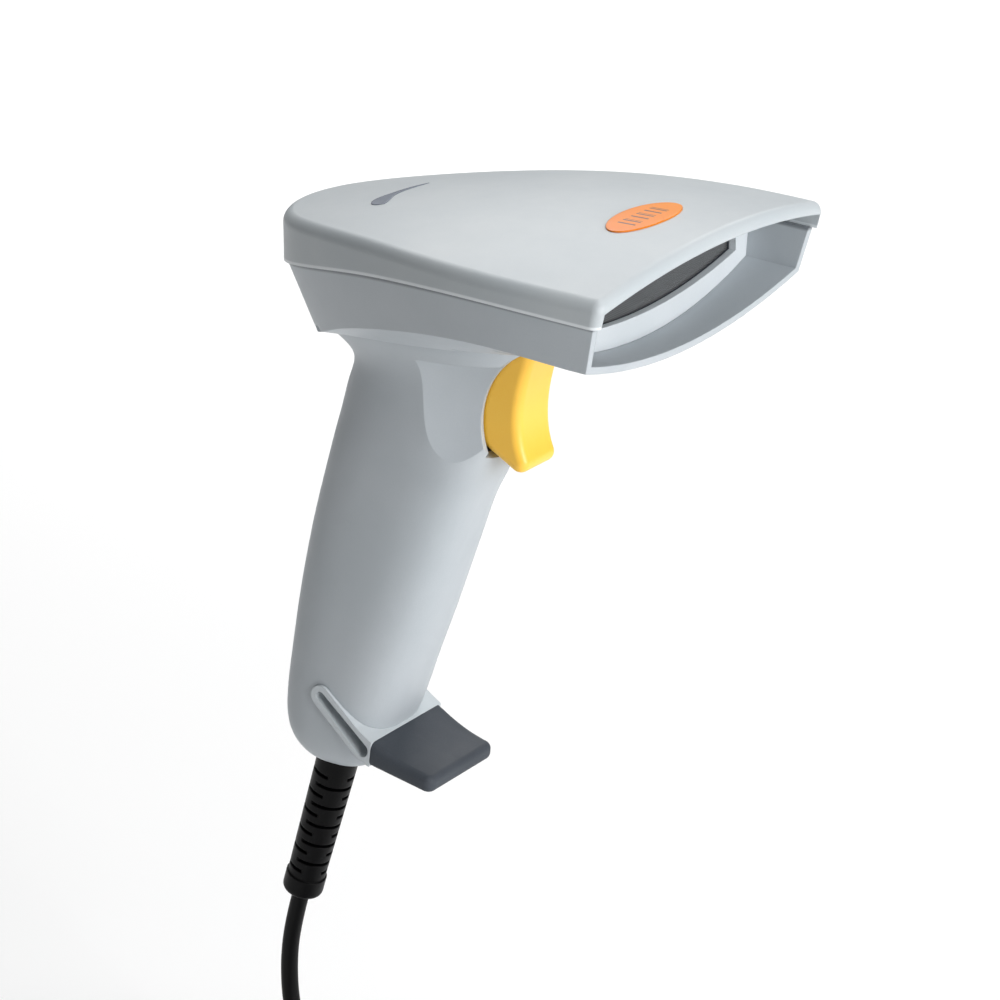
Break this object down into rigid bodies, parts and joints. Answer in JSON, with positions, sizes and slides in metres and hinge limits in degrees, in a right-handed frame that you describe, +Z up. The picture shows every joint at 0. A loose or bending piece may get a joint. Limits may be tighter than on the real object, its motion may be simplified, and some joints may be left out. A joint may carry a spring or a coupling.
{
  "type": "handheld barcode scanner",
  "caption": "Pistol-grip handheld barcode scanner with a wide raked scan mouth, sprung finger trigger, rubber-tipped foot hook, indicator light and a corded plug.",
  "frame": {"origin": "middle of the grip, where the palm closes around it, in the scanner's middle plane", "axes": "+X out of the scan mouth (forward), +Y to the scanner's left, +Z up through the head"},
  "size_m": [0.133, 0.1206, 0.2814],
  "materials": {
    "cover_plastic": "fine spark-eroded grain",
    "case_plastic": "fine spark-eroded grain",
    "bezel_plastic": "smooth satin",
    "soft_rubber": "matt",
    "badge_orange": "glossy domed",
    "lens_plastic": "translucent, polished",
    "window_glass": "tinted, polished",
    "lens_glass": "coated",
    "foam_rubber": "closed-cell foam",
    "black_plastic": "moulded",
    "ivory_plastic": "moulded",
    "board_green": "solder mask",
    "ceramic_package": "matt",
    "led_red": "clear red",
    "steel": "zinc plated",
    "spring_steel": "drawn",
    "brass": "tinned",
    "trigger_yellow": "satin",
    "cord_jacket": "matt vinyl",
    "cord_boot": "matt",
    "tie_rubber": "matt strap",
    "plug_metal": "nickel plated"
  },
  "bodies": {
    "scanner_body": {"top_cover": "cover_plastic", "lower_case": "case_plastic", "grip_foot": "case_plastic", "foot_tip": "soft_rubber", "badge": "badge_orange", "indicator_lens": "lens_plastic", "scan_bezel": "bezel_plastic", "scan_window": "window_glass", "window_gasket": "foam_rubber", "optical_chassis": "black_plastic", "lens_barrel": "black_plastic", "focusing_lens": "lens_glass", "sensor_board": "board_green", "line_sensor": "ceramic_package", "led_board": "board_green", "scan_leds": "led_red", "decoder_board": "board_green", "decoder_chips": "black_plastic", "board_connector": "ivory_plastic", "buzzer": "black_plastic", "indicator_led": "ivory_plastic", "case_screws": "steel", "chassis_screws": "steel", "board_screws": "steel", "bracket_screws": "steel", "trigger_pin": "steel", "trigger_spring": "spring_steel", "switch_body": "black_plastic", "switch_terminals": "brass", "switch_bracket": "black_plastic", "grip_harness": "cord_jacket", "strain_relief": "cord_boot", "cord_lead": "cord_jacket", "cord_coil": "cord_jacket", "cord_tail": "cord_jacket", "coil_tie": "tie_rubber", "usb_plug_body": "cord_boot", "usb_plug_shell": "plug_metal", "usb_plug_tongue": "ivory_plastic"},
    "trigger_body": {"trigger": "trigger_yellow"},
    "plunger_body": {"switch_plunger": "ivory_plastic"}
  },
  "joints": [
    {"name": "trigger_pull", "type": "hinge", "parent": "scanner_body", "child": "trigger_body", "pos_m": [0.042, 0, 0.069], "axis": [0, 1, 0], "range_deg": [0, 4.5], "stiffness_Nm_per_rad": 0.5, "springref_deg": -2.86, "deforming": ["trigger_spring"]},
    {"name": "switch_press", "type": "slide", "parent": "scanner_body", "child": "plunger_body", "axis": [-1, 0, 0], "range_m": [0, 0.0017]}
  ],
  "couplings": [
    {"joint": "switch_press", "follows": "trigger_pull", "m_per_rad": 0.021}
  ]
}
